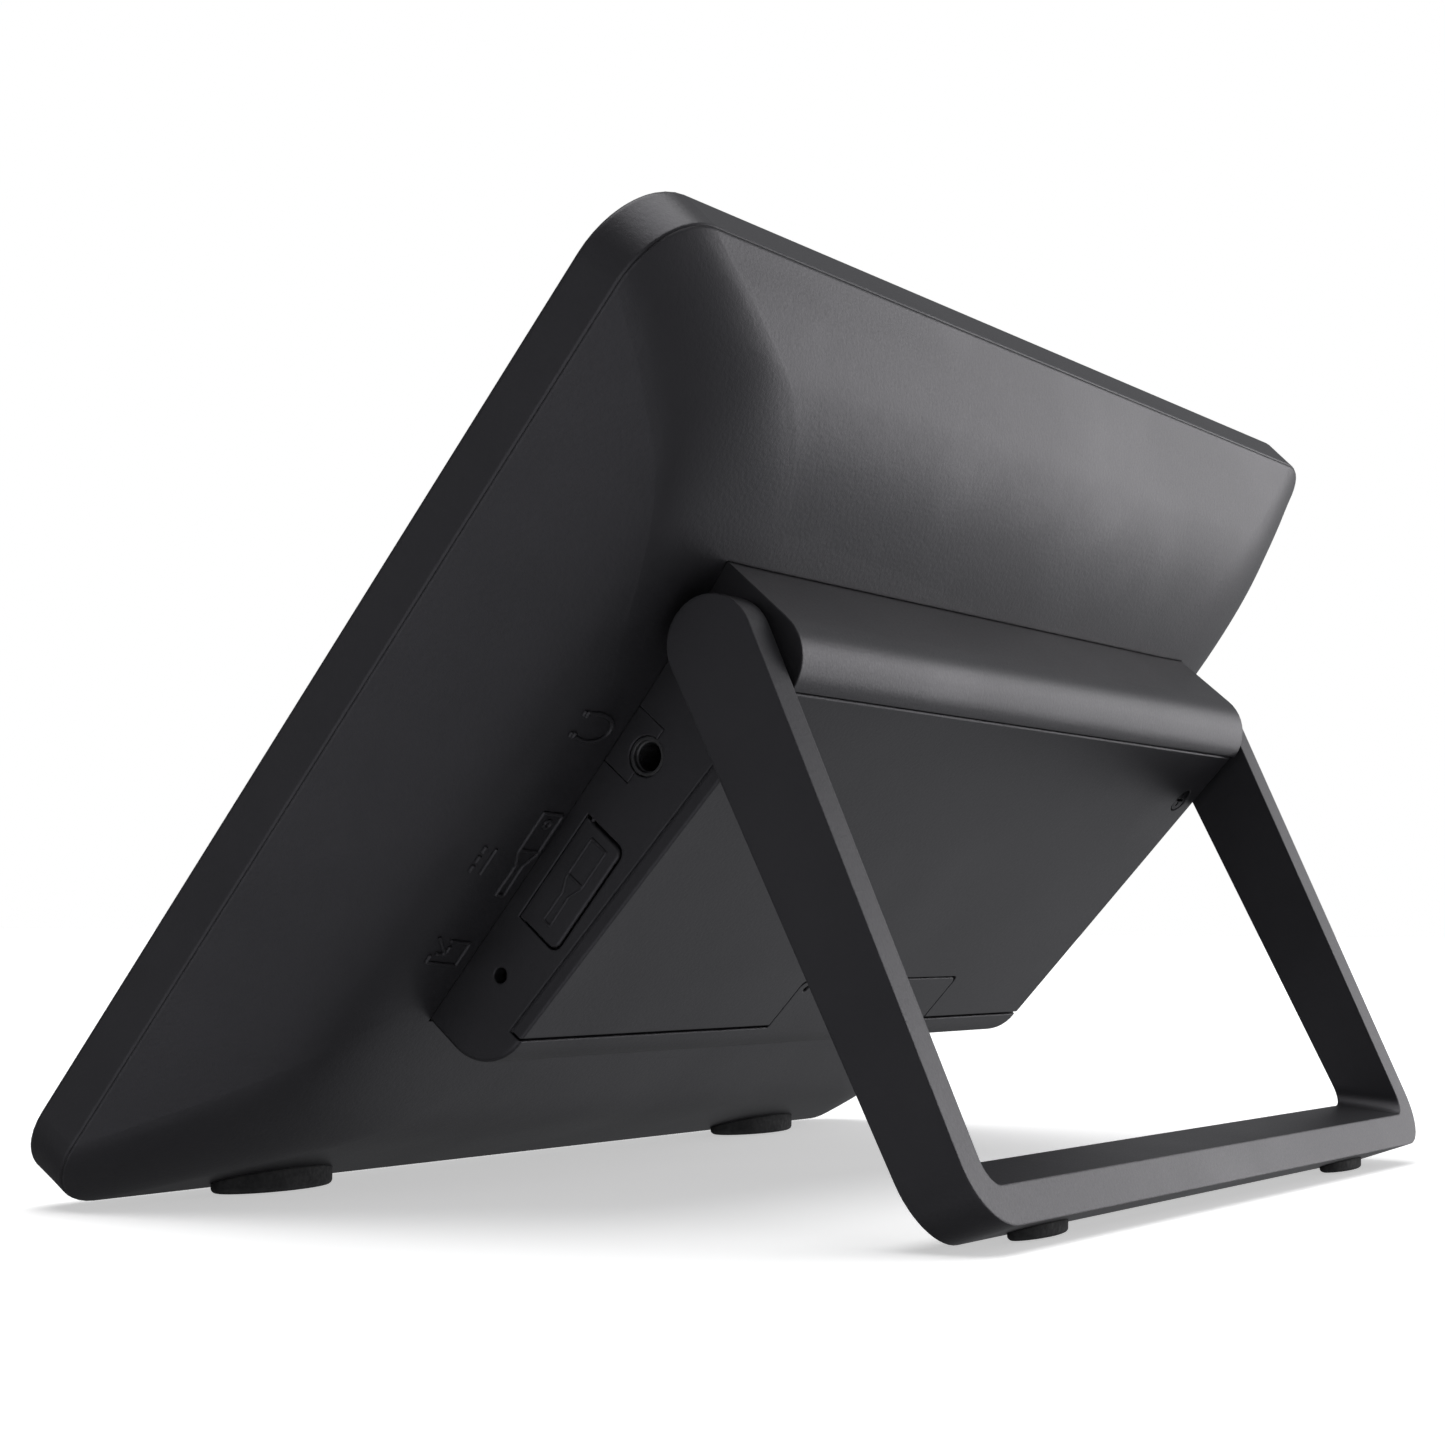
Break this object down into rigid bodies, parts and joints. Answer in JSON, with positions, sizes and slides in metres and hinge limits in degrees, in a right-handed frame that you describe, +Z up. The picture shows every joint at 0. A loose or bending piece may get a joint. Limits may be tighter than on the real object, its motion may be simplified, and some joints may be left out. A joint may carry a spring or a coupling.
{
  "type": "digital photo frame",
  "caption": "Desk display: a leaning glass-fronted slab with a raised electronics housing on its back and a folding U-shaped stand.",
  "frame": {"origin": "on the table, midway across the frame and midway between its foremost and rearmost points", "axes": "+X across the frame, towards the headphone socket; +Y to the rear, from the screen to the stand; +Z up"},
  "size_m": [0.2028, 0.1266, 0.1194],
  "materials": {
    "band_plastic": "fine matt texture, dark charcoal",
    "case_plastic": "fine matt texture, dark charcoal",
    "stand_plastic": "fine matt texture, dark charcoal",
    "screen_glass": "polished, black printed border",
    "display_panel": "dark, switched off",
    "clear_plastic": "polished acrylic",
    "white_plastic": "smooth white",
    "black_tape": "thin adhesive tape",
    "plated_steel": "zinc plated",
    "spring_steel": "bright spring steel",
    "black_screw": "black oxide",
    "turned_steel": "polished pin",
    "bush_brass": "turned",
    "washer_nylon": "self-lubricating plastic",
    "circuit_board": "green solder mask",
    "chip_black": "moulded epoxy",
    "flex_film": "amber polyimide film",
    "jack_plastic": "smooth black nylon",
    "foot_rubber": "soft matt black"
  },
  "bodies": {
    "frame_body": {"front_frame": "band_plastic", "front_glass": "screen_glass", "glass_tape": "black_tape", "display_cell": "display_panel", "optical_sheets": "white_plastic", "light_guide": "clear_plastic", "led_bar": "white_plastic", "backlight_tray": "white_plastic", "chassis_plate": "plated_steel", "chassis_screws": "black_screw", "rear_cover": "case_plastic", "module_housing": "case_plastic", "housing_screws": "black_screw", "cover_plate": "case_plastic", "cover_screw": "black_screw", "headphone_jack": "jack_plastic", "jack_insert": "case_plastic", "power_inlet": "plated_steel", "reset_switch": "chip_black", "card_reader": "plated_steel", "main_board": "circuit_board", "board_screws": "black_screw", "shield_can": "plated_steel", "board_chips": "chip_black", "power_parts": "chip_black", "clock_cell": "plated_steel", "speakers": "chip_black", "display_flex": "flex_film", "remote_receiver": "chip_black", "hinge_bushes": "bush_brass", "hinge_brackets": "plated_steel", "bracket_screws": "black_screw", "spring_washers": "spring_steel", "slab_feet": "foot_rubber"},
    "stand": {"stand_frame": "stand_plastic", "stand_feet": "foot_rubber", "hinge_pins": "turned_steel", "hinge_washers": "washer_nylon", "pin_clips": "spring_steel"},
    "port_cover": {"port_cover": "case_plastic"},
    "reset_button": {"reset_button": "jack_plastic"}
  },
  "joints": [
    {"name": "stand_hinge", "type": "hinge", "parent": "frame_body", "child": "stand", "pos_m": [0, 0.02664, 0.06953], "axis": [1, 0, 0], "range_deg": [-59, 0]},
    {"name": "port_cover_hinge", "type": "hinge", "parent": "frame_body", "child": "port_cover", "pos_m": [0.0693, 0.00031, 0.04304], "axis": [0, -0.6374, -0.7705], "range_deg": [0, 90]},
    {"name": "reset_press", "type": "slide", "parent": "frame_body", "child": "reset_button", "axis": [-1, 0, 0], "range_m": [0, 0.0003], "stiffness_N_per_m": 800, "springref_m": -0.0003}
  ]
}
